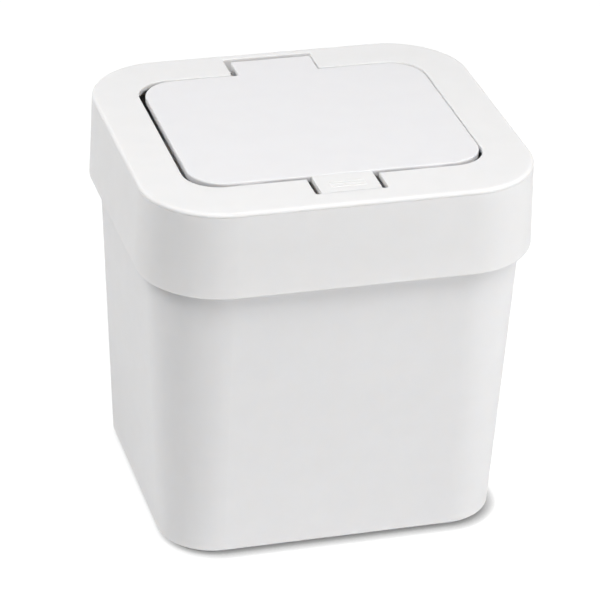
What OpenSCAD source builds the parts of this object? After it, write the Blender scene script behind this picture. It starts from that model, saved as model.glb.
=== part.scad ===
// A countertop trash can: a drafted square bucket under a lift-off lid with a deep skirt.
// The flap in the lid is hinged at the rear and held shut by a catch.
// Pressing the short tongue in front of the flap frees the catch, and a wound spring lifts the flap.
// The origin is on the surface it stands on, under the middle. The front faces -Y.

/* [Lid outline] */
// Width of the lid at its top edge
lid_w = 200; // [185:1:240]
// Depth of the lid at its top edge
lid_d = 180; // [168:1:216]
// Height of the whole can
total_h = 200; // [165:1:250]
// Corner radius of the lid in plan, at its top edge
lid_corner_r = 40; // [36:1:46]
// Height of the lid's skirt
skirt_h = 45.5; // [38:0.5:60]
// How far the skirt leans out, per side, by its lower edge
skirt_flare = 1.4; // [0.4:0.1:3]
// Wall of the skirt
skirt_t = 2.2; // [1.8:0.1:2.8]
// Thickness of the lid's top
top_t = 3; // [2.6:0.1:3.4]
// Radius round the lid's upper edge
edge_r = 1.9; // [1.2:0.1:2.4]
// Radius round the skirt's lower edge
skirt_edge_r = 0.8; // [0.4:0.1:1]
// Width and depth of the fine mould line under that edge
parting_line = 0.3; // [0.2:0.05:0.4]

/* [Bucket] */
// Draft of the bucket's walls, in degrees
bucket_draft = 2.8; // [1:0.1:4]
// Wall of the bucket
bucket_t = 2; // [1.6:0.1:2.6]
// Thickness of the bucket's floor
floor_t = 2.4; // [2:0.1:3.4]
// Radius round the bucket's lower edge
base_r = 1; // [0.6:0.1:4]
// Radius round the floor inside
floor_r = 2; // [1:0.5:6]
// How far the bucket's rim stands below the top of the lid
rim_depth = 18; // [14:1:24]
// How far the rim bead stands out of the wall
bead_out = 0.7; // [0.4:0.1:1]
// Height of the rim bead
bead_h = 3; // [2:0.5:5]
// Height of the ring that the bucket stands on
foot_h = 2.4; // [1.6:0.1:3.2]
// How far that ring is set in under the walls
foot_in = 3.5; // [2:0.5:6]
// Width of that ring
foot_w = 4; // [3:0.5:7]

/* [Mouth of the lid] */
// Width of the lid's top left beside the mouth
border_side = 23.3; // [20:0.1:30]
// Width of the lid's top left in front of the mouth
border_front = 29.2; // [26:0.1:36]
// Width of the lid's top left behind the mouth
border_rear = 25; // [22:0.1:30]
// Corner radius of the mouth
mouth_r = 18; // [10:0.5:22]
// Rounding of the mouth's upper edges
mouth_edge_r = 0.5; // [0.3:0.1:0.8]
// Width of the notch for the hinge tab
notch_w = 47.2; // [42:0.1:56]
// Width of the strip of lid left behind the notch
notch_strip = 5.7; // [5.2:0.1:8]

/* [Flap] */
// Gap between the flap and the mouth at each side, with the flap in the middle
flap_side_gap = 1.9; // [1.5:0.1:2.6]
// How far the flap sits to the right in its side play
flap_play = 1.2; // [0:0.1:1.2]
// Gap in front of the flap
flap_front_gap = 3.1; // [2.6:0.1:4]
// Gap behind the flap, beside the hinge tab
flap_rear_gap = 1; // [0.9:0.1:1.4]
// Thickness of the flap's panel and of its hinge tab
flap_t = 2.4; // [2:0.1:2.6]
// Height of the flap's edge, panel and rim together
flap_edge_h = 3.6; // [3:0.1:4]
// Width of the rim under the flap
flap_rim_w = 1.8; // [1.4:0.1:2.6]
// Corner radius of the flap
flap_corner_r = 18.5; // [10:0.5:24]
// Rounding of the flap's upper edge
flap_edge_r = 0.9; // [0.6:0.1:2.2]
// Gap beside the hinge tab, with the flap in the middle
tab_side_gap = 2.2; // [1.8:0.1:3]
// Gap behind the hinge tab
tab_rear_gap = 3.7; // [3.2:0.1:5]
// Depth of the ribs under the flap
flap_rib_h = 2.6; // [2:0.1:4]

/* [Hinge] */
// How far the hinge line lies in front of the tab's rear edge
hinge_in = 3.2; // [2.8:0.1:4]
// How far the hinge line lies below the top of the lid
hinge_drop = 4.8; // [4.8:0.1:6]
// Diameter of the hinge pin
pin_d = 2; // [1.8:0.1:2.2]
// Radial clearance of the pin in its bores
pin_clear = 0.05; // [0.03:0.01:0.1]
// Outer radius of the knuckles
knuckle_r = 2.6; // [2.4:0.1:3]
// Length of each knuckle
knuckle_w = 9; // [6:0.5:11]
// Thickness of the cheeks that hold the pin
cheek_t = 3.2; // [2.6:0.1:4]

/* [Spring] */
// Diameter of the spring wire
wire_d = 0.8; // [0.6:0.1:0.8]
// Free space between the pin and the spring
spring_clear = 0.3; // [0.3:0.05:0.5]
// Whole turns of the spring
spring_turns = 7; // [4:1:8]
// Distance from one turn to the next
spring_pitch = 1.5; // [1.3:0.1:1.8]
// Length of the leg that lifts the flap
lift_leg = 11; // [8:0.5:14]
// Length of the leg that bears on the lid
stay_leg = 6; // [5:0.5:7]

/* [Push tongue] */
// Width of the tongue
tongue_w = 30.8; // [24:0.1:38]
// Width of the slot at each side of the tongue
slot_w = 3; // [2.4:0.1:4]
// Length of the tongue from its root to its tip
tongue_l = 19.4; // [17:0.1:22]
// Thickness of the tongue
tongue_t = 3; // [2.2:0.1:3.4]
// Clearance at the tongue's root and at its tip
tongue_clear = 0.3; // [0.3:0.05:0.5]
// Number of grip ribs on the tongue
grip_ribs = 3; // [0:1:4]
// Height of the grip ribs
grip_h = 0.3; // [0.2:0.1:0.5]

/* [Catch] */
// Width of the catch
catch_w = 16; // [10:0.5:22]
// Depth of the nose's widest point below the tongue's root line
nose_drop = 7.4; // [6.6:0.1:10]
// How far the nose reaches behind the tongue's tip
nose_reach = 2.2; // [1.8:0.1:2.6]
// How far the flap's hook reaches under the nose
catch_bite = 0.8; // [0.5:0.1:1]
// Gap between the two catch faces
catch_clear = 0.15; // [0.1:0.05:0.3]

/* [Hidden] */
$fn = 96;
eps = 0.01;
shell_colour = "whitesmoke";
steel_colour = "silver";

// Every outline of the can is struck from these four corner centres
corner_x = lid_w / 2 - lid_corner_r;
corner_y = lid_d / 2 - lid_corner_r;

// Levels
skirt_z = total_h - skirt_h;
under_z = total_h - top_t;
rim_z = total_h - rim_depth;
seat_gap = 0.2;
rim_gap = 0.6;

// Radii about the corner centres, at a level
function skirt_out(z) = lid_corner_r + skirt_flare * (total_h - z) / skirt_h;
function skirt_in(z) = skirt_out(z) - skirt_t;
function wall_out(z) = skirt_in(rim_z) - rim_gap - bead_out - (rim_z - z) * tan(bucket_draft);
function wall_in(z) = wall_out(z) - bucket_t / cos(bucket_draft);

// Mouth, notch and slots
mouth_left = -lid_w / 2 + border_side;
mouth_w = lid_w - 2 * border_side;
mouth_front = -lid_d / 2 + border_front;
mouth_rear = lid_d / 2 - border_rear;
notch_rear = lid_d / 2 - notch_strip;
notch_r = 1;
slot_r = 1.4;

// Flap, all about its own middle line
flap_w = mouth_w - 2 * flap_side_gap;
flap_front = mouth_front + flap_front_gap;
flap_rear = mouth_rear - flap_rear_gap;
tab_w = notch_w - 2 * tab_side_gap;
tab_rear = notch_rear - tab_rear_gap;
tab_edge_r = 0.4;
tab_overlap = 6;

// Hinge line
hinge_y = tab_rear - hinge_in;
hinge_z = total_h - hinge_drop;
cheek_x = notch_w / 2;
cheek_front = hinge_y - 7;
pin_end_in = 0.2;
cheek_drop = 6;
shelf_t = 2;
shelf_gap = 0.35;
shelf_z = hinge_z - hinge_in - shelf_gap;
shelf_front = hinge_y + hinge_drop - flap_t;
pin_l = notch_w + 2 * (cheek_t - pin_end_in);

// Spring
coil_r = pin_d / 2 + spring_clear + wire_d / 2;
coil_turns = spring_turns + 0.25;
coil_l = coil_turns * spring_pitch;
coil_steps = 8;
wire_sides = 6;

// Tongue and catch, about the tongue's root line
tip_y = flap_front - tongue_clear;
root_y = tip_y - tongue_l;
root_z = total_h - tongue_t;
nose_y = tip_y + nose_reach;
catch_r = norm([nose_y - root_y, nose_drop]);
leg_t = 2;
nose_face_h = 2.2;
nose_ramp_h = 2.6;
hook_t = 2.2;
hook_gap = 0.5;
hook_bevel = 0.4;
hook_tip_y = nose_y - catch_bite;
hook_back_y = nose_y + hook_gap + hook_t;
hook_drop = nose_drop + nose_face_h + 3;

// Ribs that seat the lid on the rim
seat_rib_t = 1.6;
seat_rib_reach = 7;
seat_rib_in = 10;
seat_rib_x = 45;
seat_rib_y = 36;

// Stops under the flap's front corners
stop_x = 46;
stop_w = 12;
stop_reach = 3;
stop_root = 6;
stop_t = 2.6;
stop_gap = 0.3;

// A solid with four round corners, made from one profile that is drawn from a corner centre outward
module struck(cx, cy, z0, z1) {
    for (sx = [-1, 1], sy = [-1, 1])
        translate([sx * cx, sy * cy, 0]) rotate_extrude() children(0);
    for (side = [0, 1]) {
        mirror([side, 0, 0]) translate([cx, 0, 0]) rotate([90, 0, 0])
            linear_extrude(2 * cy, center = true) children(0);
        mirror([0, side, 0]) translate([0, cy, 0]) rotate([90, 0, 90])
            linear_extrude(2 * cx, center = true) children(0);
    }
    translate([-cx, -cy, z0]) cube([2 * cx, 2 * cy, z1 - z0]);
}

// Profile of a plate with its upper edge rounded
module plate_profile(r, z0, z1, round_r) {
    translate([0, z0]) square([r, z1 - z0 - round_r]);
    translate([0, z0]) square([r - round_r, z1 - z0]);
    translate([r - round_r, z1 - round_r]) circle(round_r);
}

// Profile of a cut whose upper edge flares, which leaves a rounded edge round the hole
module cut_profile(r, z0, z1, round_r) {
    translate([0, z0]) square([r, z1 - z0 + 1]);
    difference() {
        translate([0, z1 - round_r]) square([r + round_r, round_r + 1]);
        translate([r + round_r, z1 - round_r]) circle(round_r);
    }
}

// A rounded plate between two levels, and a rounded cut down from the top of the lid
module plate(w, d, r, z0, z1, round_r) {
    struck(w / 2 - r, d / 2 - r, z0, z1) plate_profile(r, z0, z1, round_r);
}
module top_cut(w, d, r, round_r) {
    z0 = under_z - 1;
    struck(w / 2 - r, d / 2 - r, z0, total_h + 1) cut_profile(r, z0, total_h, round_r);
}

// A bar across the can: a profile drawn in the Y-Z plane, extruded along X
module across(w) {
    rotate([90, 0, 90]) linear_extrude(w, center = true) children();
}

// A round bar along X
module round_x(r, l) {
    rotate([0, 90, 0]) cylinder(r = r, h = l, center = true);
}

// Outer profile of the bucket: foot ring, lower edge, drafted wall and rim bead
module bucket_outer_profile() {
    foot_out = wall_out(foot_h) - foot_in;
    edge_z = foot_h + base_r;
    edge_x = wall_out(edge_z) - base_r / cos(bucket_draft);
    bead_z = rim_z - bead_h;
    polygon([
        [0, 0],
        [foot_out, 0],
        [foot_out, foot_h],
        [edge_x, foot_h],
        [edge_x, edge_z],
        [edge_x + base_r * cos(bucket_draft), edge_z - base_r * sin(bucket_draft)],
        [wall_out(bead_z - bead_out), bead_z - bead_out],
        [wall_out(rim_z) + bead_out, bead_z],
        [wall_out(rim_z) + bead_out, rim_z],
        [0, rim_z]
    ]);
    translate([edge_x, edge_z]) circle(base_r);
}

// Inner profile of the bucket, with the floor's radius
module bucket_inner_profile() {
    floor_z = foot_h + floor_t;
    edge_z = floor_z + floor_r;
    edge_x = wall_in(edge_z) - floor_r / cos(bucket_draft);
    polygon([
        [0, floor_z],
        [edge_x, floor_z],
        [edge_x, edge_z],
        [edge_x + floor_r * cos(bucket_draft), edge_z - floor_r * sin(bucket_draft)],
        [wall_in(rim_z + 1), rim_z + 1],
        [0, rim_z + 1]
    ]);
    translate([edge_x, edge_z]) circle(floor_r);
}

module bucket() {
    foot_hollow = wall_out(foot_h) - foot_in - foot_w;
    color(shell_colour) difference() {
        struck(corner_x, corner_y, 0, rim_z) bucket_outer_profile();
        struck(corner_x, corner_y, foot_h + floor_t, rim_z + 1) bucket_inner_profile();
        struck(corner_x, corner_y, -1, foot_h) translate([0, -1]) square([foot_hollow, foot_h + 1]);
    }
}

// Outer profile of the lid: upper edge, mould line, flared skirt and its lower edge
module lid_outer_profile() {
    line_z = total_h - edge_r - parting_line;
    flare = atan(skirt_flare / skirt_h);
    low_z = skirt_z + skirt_edge_r;
    low_x = skirt_out(low_z) - skirt_edge_r / cos(flare);
    difference() {
        union() {
            polygon([
                [0, skirt_z],
                [low_x, skirt_z],
                [low_x, low_z],
                [low_x + skirt_edge_r * cos(flare), low_z + skirt_edge_r * sin(flare)],
                [skirt_out(total_h - edge_r), total_h - edge_r],
                [skirt_out(total_h - edge_r) - edge_r, total_h],
                [0, total_h]
            ]);
            translate([skirt_out(total_h - edge_r) - edge_r, total_h - edge_r]) circle(edge_r);
            translate([low_x, low_z]) circle(skirt_edge_r);
        }
        translate([skirt_out(line_z) - parting_line, line_z]) square([1, parting_line]);
    }
}

module lid_inner_profile() {
    polygon([
        [0, skirt_z - 1],
        [skirt_in(skirt_z - 1), skirt_z - 1],
        [skirt_in(under_z), under_z],
        [0, under_z]
    ]);
}

// One rib that hooks over the bucket's rim, drawn from the corner centre outward
module seat_rib() {
    leg_out = wall_in(rim_z - seat_rib_reach) - rim_gap;
    leg_in = leg_out - seat_rib_reach / 2;
    rotate([90, 0, 0]) linear_extrude(seat_rib_t, center = true) polygon([
        [skirt_in(under_z) - seat_rib_in, under_z + eps],
        [skirt_in(under_z) + skirt_t / 2, under_z + eps],
        [skirt_in(rim_z) + skirt_t / 2, rim_z + seat_gap],
        [leg_out, rim_z + seat_gap],
        [leg_out, rim_z - seat_rib_reach],
        [leg_in, rim_z - seat_rib_reach]
    ]);
}

// The ribs, ten in all: three at each side, two at the front and two at the rear
module seat_ribs() {
    for (side = [0, 1]) {
        for (i = [-1:1])
            mirror([side, 0, 0]) translate([corner_x, i * seat_rib_y, 0]) seat_rib();
        for (i = [-1, 1])
            mirror([0, side, 0]) translate([i * seat_rib_x, corner_y, 0]) rotate([0, 0, 90]) seat_rib();
    }
}

// Ledges that stop the flap level with the lid
module flap_stops() {
    top = total_h - flap_edge_h - stop_gap;
    for (side = [-1, 1])
        translate([side * stop_x - stop_w / 2, mouth_front - stop_root, top - stop_t]) {
            cube([stop_w, stop_root + flap_front_gap + stop_reach, stop_t]);
            cube([stop_w, stop_root, under_z + eps - top + stop_t]);
        }
}

// Cheeks that hold the hinge pin, the wall behind them and the shelf that stops the open flap
module hinge_pocket() {
    wall_y = skirt_in(under_z) + corner_y + skirt_t / 2;
    pocket_z = hinge_z - cheek_drop;
    for (side = [0, 1]) mirror([side, 0, 0])
        translate([cheek_x, cheek_front, pocket_z])
            cube([cheek_t, wall_y - cheek_front, under_z + eps - pocket_z]);
    translate([-cheek_x - eps, notch_rear, pocket_z])
        cube([notch_w + 2 * eps, wall_y - notch_rear, under_z + eps - pocket_z]);
    translate([-cheek_x - eps, shelf_front, shelf_z - shelf_t])
        cube([notch_w + 2 * eps, wall_y - shelf_front, shelf_t]);
}

module lid_frame() {
    mouth_d = mouth_rear - mouth_front;
    notch_l = notch_rear - mouth_rear + mouth_r;
    slot_l = mouth_front - root_y + mouth_r;
    slot_x = tongue_w / 2 + slot_w / 2;
    color(shell_colour) {
        flap_stops();
        difference() {
            union() {
                difference() {
                    struck(corner_x, corner_y, skirt_z, total_h) lid_outer_profile();
                    struck(corner_x, corner_y, skirt_z - 1, under_z) lid_inner_profile();
                }
                seat_ribs();
                hinge_pocket();
            }
            translate([0, (mouth_front + mouth_rear) / 2, 0])
                top_cut(mouth_w, mouth_d, mouth_r, mouth_edge_r);
            translate([0, notch_rear - notch_l / 2, 0])
                top_cut(notch_w, notch_l, notch_r, mouth_edge_r);
            for (side = [-1, 1])
                translate([side * slot_x, root_y + slot_l / 2, 0])
                    top_cut(slot_w, slot_l, slot_r, mouth_edge_r);
            translate([-slot_x, root_y, under_z - 1]) cube([2 * slot_x, slot_l, top_t + 2]);
            translate([0, hinge_y, hinge_z]) round_x(pin_d / 2 + pin_clear, notch_w + 2 * cheek_t + 2);
        }
    }
}

// Nose of the tongue's catch: its rear face is an arc about the root line
module nose() {
    nose_low = root_z - nose_drop - nose_face_h;
    intersection() {
        across(catch_w) polygon([
            [tip_y - leg_t, root_z - nose_drop + nose_ramp_h],
            [tip_y, root_z - nose_drop + nose_ramp_h],
            [nose_y, root_z - nose_drop],
            [nose_y, nose_low],
            [tip_y - leg_t, nose_low]
        ]);
        translate([0, root_y, root_z]) round_x(catch_r, catch_w + 2);
    }
}

module push_tongue() {
    tongue_r = 1;
    tongue_edge_r = 0.4;
    grip_w = 18;
    grip_t = 1;
    first_grip = 5.6;
    grip_step = 2.7;
    color(shell_colour) {
        translate([0, (root_y + tongue_clear + tip_y) / 2, 0])
            plate(tongue_w, tongue_l - tongue_clear, tongue_r, total_h - tongue_t, total_h, tongue_edge_r);
        translate([-catch_w / 2, tip_y - leg_t, root_z - nose_drop])
            cube([catch_w, leg_t, nose_drop]);
        nose();
        for (i = [0:1:grip_ribs - 1])
            translate([0, root_y + first_grip + i * grip_step, 0])
                plate(grip_w, grip_t, 0.45, total_h - 1, total_h + grip_h, 0.25);
    }
}

// Hook of the flap's catch: its front face clears the nose's arc
module hook() {
    hook_low = root_z - hook_drop;
    arm_front = nose_y + hook_gap;
    difference() {
        across(catch_w) polygon([
            [arm_front, total_h - flap_t + eps],
            [arm_front, root_z - nose_drop + 1],
            [hook_tip_y, root_z - nose_drop + 1],
            [hook_tip_y, hook_low + 2],
            [arm_front + hook_bevel, hook_low],
            [hook_back_y, hook_low],
            [hook_back_y, total_h - flap_t + eps]
        ]);
        translate([0, root_y, root_z]) round_x(catch_r + catch_clear, catch_w + 2);
    }
}

// Knuckle round the hinge pin, with the saddle that joins it to the tab
module knuckle() {
    translate([0, hinge_y, hinge_z]) round_x(knuckle_r, knuckle_w);
    translate([-knuckle_w / 2, hinge_y - knuckle_r, hinge_z])
        cube([knuckle_w, 2 * knuckle_r, hinge_drop - flap_t + eps]);
}

// Two ribs from the knuckles to the front rim, and two lower ones across them
module flap_ribs() {
    rib_t = 1.4;
    rib_z = total_h - flap_t - flap_rib_h;
    rib_x = (tab_w - knuckle_w) / 2;
    cross_in = flap_corner_r + 12;
    for (side = [-1, 1])
        translate([side * rib_x - rib_t / 2, flap_front + flap_rim_w / 2, rib_z])
            cube([rib_t, hinge_y - flap_front - flap_rim_w / 2, flap_rib_h + eps]);
    for (y = [flap_front + cross_in, flap_rear - cross_in])
        translate([-flap_w / 2 + flap_rim_w / 2, y, total_h - flap_edge_h])
            cube([flap_w - flap_rim_w, rib_t, flap_edge_h - flap_t + eps]);
}

module flap() {
    flap_d = flap_rear - flap_front;
    flap_y = (flap_front + flap_rear) / 2;
    tab_l = tab_rear - flap_rear + tab_overlap;
    tab_r = 0.8;
    rim_r = flap_corner_r - flap_rim_w;
    rim_floor = total_h - flap_edge_h;
    color(shell_colour) translate([flap_play, 0, 0]) difference() {
        union() {
            difference() {
                translate([0, flap_y, 0])
                    plate(flap_w, flap_d, flap_corner_r, rim_floor, total_h, flap_edge_r);
                translate([0, flap_y, 0])
                    struck(flap_w / 2 - flap_corner_r, flap_d / 2 - flap_corner_r, rim_floor - 1, total_h - flap_t)
                        translate([0, rim_floor - 1]) square([rim_r, flap_edge_h - flap_t + 1]);
            }
            translate([0, tab_rear - tab_l / 2, 0])
                plate(tab_w, tab_l, tab_r, total_h - flap_t, total_h, tab_edge_r);
            for (side = [-1, 1])
                translate([side * (tab_w - knuckle_w) / 2, 0, 0]) knuckle();
            flap_ribs();
            hook();
        }
        translate([0, hinge_y, hinge_z]) round_x(pin_d / 2 + pin_clear, tab_w + 2);
    }
}

module hinge_pin() {
    color(steel_colour) translate([0, hinge_y, hinge_z]) round_x(pin_d / 2, pin_l);
}

// Centre line of the spring: lifting leg, turns round the pin, and the leg that bears on the shelf
function coil_point(t) =
    let (a = 90 - 360 * t)
    [coil_l * (t / coil_turns - 0.5), coil_r * cos(a), coil_r * sin(a)];
coil_rings = coil_steps * coil_turns;
wire_path = concat(
    [[-coil_l / 2, -lift_leg, coil_r]],
    [for (i = [0:coil_rings]) coil_point(i / coil_steps)],
    [[coil_l / 2, coil_r, -stay_leg]]
);

// A ring of points about the wire's centre line, square to the way the wire runs
function ring(path, i) =
    let (
        last = len(path) - 1,
        ahead = path[min(i + 1, last)] - path[max(i - 1, 0)],
        along = ahead / norm(ahead),
        side = cross(along, [1, 0, 0]),
        out = side / norm(side),
        up = cross(along, out)
    )
    [for (k = [0:wire_sides - 1])
        path[i] + wire_d / 2 * (cos(360 * k / wire_sides) * out + sin(360 * k / wire_sides) * up)];

// One closed tube through all the rings, in triangles
module tube(path) {
    n = len(path);
    s = wire_sides;
    points = [for (i = [0:n - 1]) each ring(path, i)];
    walls = [for (i = [0:n - 2], k = [0:s - 1])
        let (a = i * s + k, b = i * s + (k + 1) % s)
        each [[a, b, a + s], [b, b + s, a + s]]];
    near_cap = [for (k = [1:s - 2]) [0, k + 1, k]];
    far_cap = [for (k = [1:s - 2]) [(n - 1) * s, (n - 1) * s + k, (n - 1) * s + k + 1]];
    polyhedron(points, concat(walls, near_cap, far_cap));
}

// Least gap between turns of the wire, measured on its points
turn_gaps = [for (i = [0:len(wire_path) - 1], j = [i + coil_steps / 2:1:len(wire_path) - 1])
    norm(wire_path[i] - wire_path[j]) - wire_d];

module pop_up_spring() {
    echo(least_gap_between_turns = min(turn_gaps));
    color(steel_colour) translate([0, hinge_y, hinge_z]) tube(wire_path);
}

bucket();
lid_frame();
push_tongue();
flap();
hinge_pin();
pop_up_spring();
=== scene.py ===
import math

import bmesh
import bpy
from mathutils import Matrix, Vector


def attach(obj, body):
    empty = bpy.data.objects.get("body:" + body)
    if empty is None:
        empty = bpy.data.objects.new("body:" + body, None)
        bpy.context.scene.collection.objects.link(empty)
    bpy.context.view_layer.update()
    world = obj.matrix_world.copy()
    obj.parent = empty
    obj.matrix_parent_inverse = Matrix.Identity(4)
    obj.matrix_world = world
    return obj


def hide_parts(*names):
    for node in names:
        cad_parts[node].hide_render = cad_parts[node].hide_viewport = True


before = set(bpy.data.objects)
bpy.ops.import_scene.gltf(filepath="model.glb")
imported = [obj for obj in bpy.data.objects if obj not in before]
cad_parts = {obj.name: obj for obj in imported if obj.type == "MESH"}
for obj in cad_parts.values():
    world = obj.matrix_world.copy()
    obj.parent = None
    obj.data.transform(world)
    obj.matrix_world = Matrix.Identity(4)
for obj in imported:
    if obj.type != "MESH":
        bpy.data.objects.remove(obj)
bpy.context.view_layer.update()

print("packed can loaded")

# node helpers


def emptyTree(material):
    material.use_nodes = True
    tree = material.node_tree
    tree.nodes.clear()
    return tree


def newMaterial(name):
    material = bpy.data.materials.new(name)
    tree = emptyTree(material)
    output = tree.nodes.new("ShaderNodeOutputMaterial")
    shader = tree.nodes.new("ShaderNodeBsdfPrincipled")
    tree.links.new(shader.outputs["BSDF"], output.inputs["Surface"])
    return material, tree, shader


def noiseAt(tree, coordinates, scale, detail, roughness):
    noise = tree.nodes.new("ShaderNodeTexNoise")
    noise.inputs["Scale"].default_value = scale
    noise.inputs["Detail"].default_value = detail
    noise.inputs["Roughness"].default_value = roughness
    tree.links.new(coordinates, noise.inputs["Vector"])
    return noise.outputs["Fac"]


def ranged(tree, value, low, high, newLow, newHigh):
    remap = tree.nodes.new("ShaderNodeMapRange")
    remap.inputs["From Min"].default_value = low
    remap.inputs["From Max"].default_value = high
    remap.inputs["To Min"].default_value = newLow
    remap.inputs["To Max"].default_value = newHigh
    tree.links.new(value, remap.inputs["Value"])
    return remap.outputs["Result"]


def mixedColour(tree, factor, first, second):
    mix = tree.nodes.new("ShaderNodeMix")
    mix.data_type = "RGBA"
    mix.inputs["A"].default_value = (*first, 1)
    mix.inputs["B"].default_value = (*second, 1)
    tree.links.new(factor, mix.inputs["Factor"])
    return mix.outputs["Result"]


def bumped(tree, height, distance, below=None):
    bump = tree.nodes.new("ShaderNodeBump")
    bump.inputs["Distance"].default_value = distance
    bump.inputs["Strength"].default_value = 1
    tree.links.new(height, bump.inputs["Height"])
    if below is not None:
        tree.links.new(below, bump.inputs["Normal"])
    return bump.outputs["Normal"]


def largerOf(tree, first, second):
    larger = tree.nodes.new("ShaderNodeMath")
    larger.operation = "MAXIMUM"
    tree.links.new(first, larger.inputs[0])
    tree.links.new(second, larger.inputs[1])
    return larger.outputs["Value"]


def mixedShader(tree, factor, first, second):
    mix = tree.nodes.new("ShaderNodeMixShader")
    tree.links.new(factor, mix.inputs["Fac"])
    tree.links.new(first, mix.inputs[1])
    tree.links.new(second, mix.inputs[2])
    return mix.outputs["Shader"]


# plastic and steel


def mouldedPlastic(name, look):
    material, tree, shader = newMaterial(name)
    place = tree.nodes.new("ShaderNodeTexCoord").outputs["Object"]
    cloud = noiseAt(tree, place, look["cloudScale"], look["cloudDetail"], look["cloudRough"])
    grain = noiseAt(tree, place, look["grainScale"], look["grainDetail"], look["grainRough"])
    flow = noiseAt(tree, place, look["flowScale"], look["flowDetail"], look["flowRough"])
    clouding = ranged(tree, cloud, look["cloudLow"], look["cloudHigh"], 0, 1)
    tint = mixedColour(tree, clouding, look["colour"], look["colourDeep"])
    tree.links.new(tint, shader.inputs["Base Color"])
    rough = ranged(tree, grain, look["grainLow"], look["grainHigh"], look["roughLow"], look["roughHigh"])
    tree.links.new(rough, shader.inputs["Roughness"])
    wave = bumped(tree, flow, look["flowDepth"])
    skin = bumped(tree, grain, look["grainDepth"], wave)
    tree.links.new(skin, shader.inputs["Normal"])
    shader.inputs["IOR"].default_value = look["ior"]
    shader.inputs["Specular IOR Level"].default_value = look["shine"]
    shader.inputs["Subsurface Weight"].default_value = look["glow"]
    shader.inputs["Subsurface Radius"].default_value = look["glowByColour"]
    shader.inputs["Subsurface Scale"].default_value = look["glowDepth"]
    return material


def drawnSteel(name, look):
    material, tree, shader = newMaterial(name)
    place = tree.nodes.new("ShaderNodeTexCoord").outputs["Object"]
    stretch = tree.nodes.new("ShaderNodeMapping")
    stretch.inputs["Scale"].default_value = look["stretch"]
    tree.links.new(place, stretch.inputs["Vector"])
    drawn = stretch.outputs["Vector"]
    streak = noiseAt(tree, drawn, look["streakScale"], look["streakDetail"], look["streakRough"])
    stain = noiseAt(tree, place, look["stainScale"], look["stainDetail"], look["stainRough"])
    staining = ranged(tree, stain, look["stainLow"], look["stainHigh"], 0, 1)
    tint = mixedColour(tree, staining, look["colour"], look["colourDeep"])
    tree.links.new(tint, shader.inputs["Base Color"])
    rough = ranged(tree, streak, look["streakLow"], look["streakHigh"], look["roughLow"], look["roughHigh"])
    tree.links.new(rough, shader.inputs["Roughness"])
    tree.links.new(bumped(tree, streak, look["streakDepth"]), shader.inputs["Normal"])
    shader.inputs["Metallic"].default_value = 1
    return material


lidLook = {
    "colour": (0.835, 0.829, 0.828),
    "colourDeep": (0.825, 0.819, 0.817),
    "cloudScale": 75,
    "cloudDetail": 2,
    "cloudRough": 0.5,
    "cloudLow": 0.35,
    "cloudHigh": 0.65,
    "grainScale": 2600,
    "grainDetail": 2,
    "grainRough": 0.6,
    "grainLow": 0.3,
    "grainHigh": 0.7,
    "grainDepth": 0.00002,
    "flowScale": 22,
    "flowDetail": 1,
    "flowRough": 0.4,
    "flowDepth": 0.000025,
    "roughLow": 0.5,
    "roughHigh": 0.62,
    "ior": 1.49,
    "shine": 0.28,
    "glow": 1,  # the plastic lets light through
    "glowByColour": (1, 0.95, 0.9),
    "glowDepth": 0.0025,
}
flapLook = dict(lidLook, colour=(0.822, 0.816, 0.828), colourDeep=(0.814, 0.807, 0.82), flowScale=18)
bucketLook = dict(lidLook, colour=(0.86, 0.853, 0.855), colourDeep=(0.85, 0.843, 0.844), flowScale=12)
steelLook = {
    "colour": (0.6, 0.6, 0.62),
    "colourDeep": (0.5, 0.49, 0.48),
    "stretch": (0.15, 1, 1),  # drawing marks run along the pin
    "streakScale": 5200,
    "streakDetail": 3,
    "streakRough": 0.6,
    "streakLow": 0.3,
    "streakHigh": 0.7,
    "streakDepth": 0.00002,
    "stainScale": 420,
    "stainDetail": 2,
    "stainRough": 0.5,
    "stainLow": 0.35,
    "stainHigh": 0.7,
    "roughLow": 0.22,
    "roughHigh": 0.4,
}

bucketPlastic = mouldedPlastic("bucketPlastic", bucketLook)
lidPlastic = mouldedPlastic("lidPlastic", lidLook)
flapPlastic = mouldedPlastic("flapPlastic", flapLook)
steel = drawnSteel("springSteel", steelLook)
wearing = {
    "bucket": (bucketPlastic, "bucket_plastic"),
    "lid_frame": (lidPlastic, "lid_plastic"),
    "push_tongue": (lidPlastic, "lid_plastic"),
    "flap": (flapPlastic, "flap_plastic"),
    "hinge_pin": (steel, "pin_steel"),
    "pop_up_spring": (steel, "pin_steel"),
}
for nodeName, (material, slotName) in wearing.items():
    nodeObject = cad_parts[nodeName]
    for materialSlot in nodeObject.material_slots:
        materialSlot.material = material
print("materials on the moulded pieces")

# spring wire

spring = {
    "hinge": (0, 0.0774, 0.1952),
    "wire": 0.0008,
    "coil": 0.0017,
    "turns": 7.25,
    "pitch": 0.0015,
    "startAngle": 90,
    "perTurn": 28,
    "liftLeg": 0.011,
    "stayLeg": 0.006,
    "roundness": 4,
}


def springLine(size):
    coil = size["coil"]
    half = size["turns"] * size["pitch"] / 2
    line = [Vector((-half, -size["liftLeg"], coil)), Vector((-half, -size["liftLeg"] / 2, coil))]
    steps = round(size["turns"] * size["perTurn"])
    for step in range(steps + 1):
        share = step / steps
        turn = math.radians(size["startAngle"]) - math.tau * size["turns"] * share
        line.append(Vector((half * (2 * share - 1), coil * math.cos(turn), coil * math.sin(turn))))
    line.append(Vector((half, coil, -size["stayLeg"] / 2)))
    line.append(Vector((half, coil, -size["stayLeg"])))
    return [point + Vector(size["hinge"]) for point in line]


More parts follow.
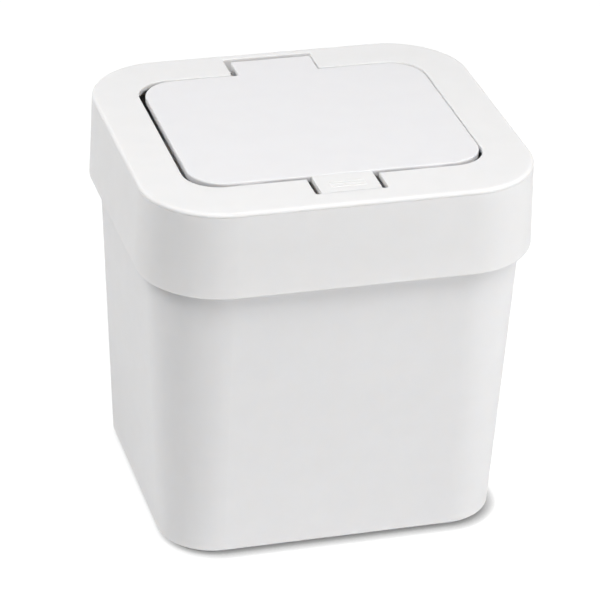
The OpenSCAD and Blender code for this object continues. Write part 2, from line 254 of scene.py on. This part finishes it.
def wireAlong(name, line, thickness, roundness):
    curve = bpy.data.curves.new(name, "CURVE")
    curve.dimensions = "3D"
    curve.bevel_depth = thickness / 2
    curve.bevel_resolution = roundness
    curve.use_fill_caps = True
    spline = curve.splines.new("POLY")
    spline.points.add(len(line) - 1)
    for point, place in zip(spline.points, line):
        point.co = (*place, 1)
    spline.use_smooth = True
    wire = bpy.data.objects.new(name, curve)
    bpy.context.scene.collection.objects.link(wire)
    return wire


springWire = wireAlong("spring_wire", springLine(spring), spring["wire"], spring["roundness"])
springWire.data.materials.append(steel)
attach(springWire, "lid")
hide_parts("pop_up_spring")
print("spring wound")

# floor and world

floor = {
    "size": 6,
    "colour": (0.84, 0.84, 0.84),
    "seenColour": (0.35, 0.35, 0.35),
    "seenLift": (0.8, 0.8, 0.8),  # open floor is pure white; near the can this glow is darkened by the painted contact shadow
    # painted contact shadow: ambient occlusion darkens the camera-seen floor near the can
    "paintedShadowReach": 0.0085,
    "paintedShadowLean": (-0.5, 0.5, 0.7),  # tilts the painted contact shadow so that it lies darker in front of the can than at its left
    "paintedShadowSamples": 12,
    "paintedShadowDark": -0.1,
    "paintedShadowClear": 0.88,
}
world = {"glow": 0.005, "white": 1}
black = (0, 0, 0)


def whiteWhereSeen(tree, output, plain, white):
    rays = tree.nodes.new("ShaderNodeLightPath").outputs
    mirrored = largerOf(tree, rays["Is Camera Ray"], rays["Is Glossy Ray"])
    seen = largerOf(tree, mirrored, rays["Is Transmission Ray"])
    tree.links.new(mixedShader(tree, seen, plain, white), output.inputs["Surface"])


def emission(tree):
    return tree.nodes.new("ShaderNodeEmission")


def diffuse(tree):
    return tree.nodes.new("ShaderNodeBsdfDiffuse")


# painted contact shadow: floor ambient occlusion along a tilted normal, mapped to a 0 to 1 darkening factor
def paintedContactShadow(tree, size):
    lean = tree.nodes.new("ShaderNodeCombineXYZ")
    for axis, share in zip("XYZ", size["paintedShadowLean"]):
        lean.inputs[axis].default_value = share
    close = tree.nodes.new("ShaderNodeAmbientOcclusion")
    close.samples = size["paintedShadowSamples"]
    close.inputs["Distance"].default_value = size["paintedShadowReach"]
    tree.links.new(lean.outputs["Vector"], close.inputs["Normal"])
    return ranged(tree, close.outputs["AO"], size["paintedShadowDark"], size["paintedShadowClear"], 0, 1)


def floorMaterial(size):
    material = bpy.data.materials.new("paleFloor")
    tree = emptyTree(material)
    output = tree.nodes.new("ShaderNodeOutputMaterial")
    matt = diffuse(tree)
    matt.inputs["Color"].default_value = (*size["colour"], 1)
    white = emission(tree)
    white.inputs["Color"].default_value = (1, 1, 1, 1)
    # the camera-seen floor colour and its white glow are both darkened by the painted contact shadow; the
    # diffuse part also keeps the lamps' real shadow
    paintedShadowFactor = paintedContactShadow(tree, size)
    shaded = diffuse(tree)
    tree.links.new(mixedColour(tree, paintedShadowFactor, black, size["seenColour"]), shaded.inputs["Color"])
    lift = emission(tree)
    tree.links.new(mixedColour(tree, paintedShadowFactor, black, size["seenLift"]), lift.inputs["Color"])
    both = tree.nodes.new("ShaderNodeAddShader")
    tree.links.new(shaded.outputs["BSDF"], both.inputs[0])
    tree.links.new(lift.outputs["Emission"], both.inputs[1])
    byCamera = tree.nodes.new("ShaderNodeLightPath").outputs["Is Camera Ray"]
    seen = mixedShader(tree, byCamera, white.outputs["Emission"], both.outputs["Shader"])
    whiteWhereSeen(tree, output, matt.outputs["BSDF"], seen)
    return material


def makeFloor(size):
    mesh = bpy.data.meshes.new("floor")
    build = bmesh.new()
    bmesh.ops.create_grid(build, x_segments=1, y_segments=1, size=size["size"])
    build.to_mesh(mesh)
    build.free()
    ground = bpy.data.objects.new("floor", mesh)
    bpy.context.scene.collection.objects.link(ground)
    mesh.materials.append(floorMaterial(size))


def background(tree, strength):
    shader = tree.nodes.new("ShaderNodeBackground")
    shader.inputs["Strength"].default_value = strength
    return shader.outputs["Background"]


def makeWorld(size):
    studio = bpy.data.worlds.new("studio")
    bpy.context.scene.world = studio
    tree = emptyTree(studio)
    output = tree.nodes.new("ShaderNodeOutputWorld")
    whiteWhereSeen(tree, output, background(tree, size["glow"]), background(tree, size["white"]))


makeFloor(floor)
makeWorld(world)
print("floor and world set")

# lamps and camera

lampAim = (0, 0, 0.1)
lamps = {
    "top": {"at": (0, -0.3, 1.6), "size": 1.4, "power": 1.5},
    "topFrontRight": {"at": (0.65, -0.65, 1.5), "size": 0.9, "power": 12.4},
    "topFrontLeft": {"at": (-0.65, -0.65, 1.5), "size": 0.9, "power": 8},
    "topLeft": {"at": (-0.95, 0, 1.4), "size": 0.9, "power": 7.7},
    "leftRear": {"at": (-1.2, 1.2, 0.6), "size": 1, "power": 9.3},
    "frontRight": {"at": (0.9, -1.3, 0.5), "size": 0.8, "power": 7.6},
    "right": {"at": (1.5, -0.2, 0.5), "size": 1, "power": 3.6},
}
cameraView = {
    "lens": 190.5,
    "sensor": 36,
    "turn": -16.57,
    "down": 28.42,
    "roll": 2.12,
    "middle": (0, 0, 0.1),
    "distance": 1.64659,
    "right": 0.00146,
    "up": 0.00107,
    "nearest": 0.05,
    "farthest": 50,
}


def makeLamp(name, lamp):
    light = bpy.data.lights.new(name, "AREA")
    light.shape = "SQUARE"
    light.size = lamp["size"]
    light.energy = lamp["power"]
    holder = bpy.data.objects.new(name, light)
    bpy.context.scene.collection.objects.link(holder)
    holder.location = lamp["at"]
    away = Vector(lamp["at"]) - Vector(lampAim)
    holder.rotation_euler = away.to_track_quat("Z", "Y").to_euler()
    holder.visible_camera = False


def makeCamera(size):
    turn, down, roll = (math.radians(size[key]) for key in ("turn", "down", "roll"))
    ahead = Vector((-math.sin(turn) * math.cos(down), math.cos(turn) * math.cos(down), -math.sin(down)))
    right = Vector((math.cos(turn), math.sin(turn), 0))
    up = right.cross(ahead)
    across = right * math.cos(roll) + up * math.sin(roll)
    upright = up * math.cos(roll) - right * math.sin(roll)
    place = Vector(size["middle"]) - ahead * size["distance"]
    place -= across * size["right"] + upright * size["up"]
    data = bpy.data.cameras.new("camera")
    data.lens = size["lens"]
    data.sensor_width = size["sensor"]
    data.clip_start = size["nearest"]
    data.clip_end = size["farthest"]
    camera = bpy.data.objects.new("camera", data)
    bpy.context.scene.collection.objects.link(camera)
    facing = Matrix((across, upright, -ahead)).transposed().to_4x4()
    camera.matrix_world = Matrix.Translation(place) @ facing
    bpy.context.scene.camera = camera


for lampName, lamp in lamps.items():
    makeLamp(lampName, lamp)
makeCamera(cameraView)
bpy.context.scene.view_settings.view_transform = "Standard"
print("lamps and camera set")
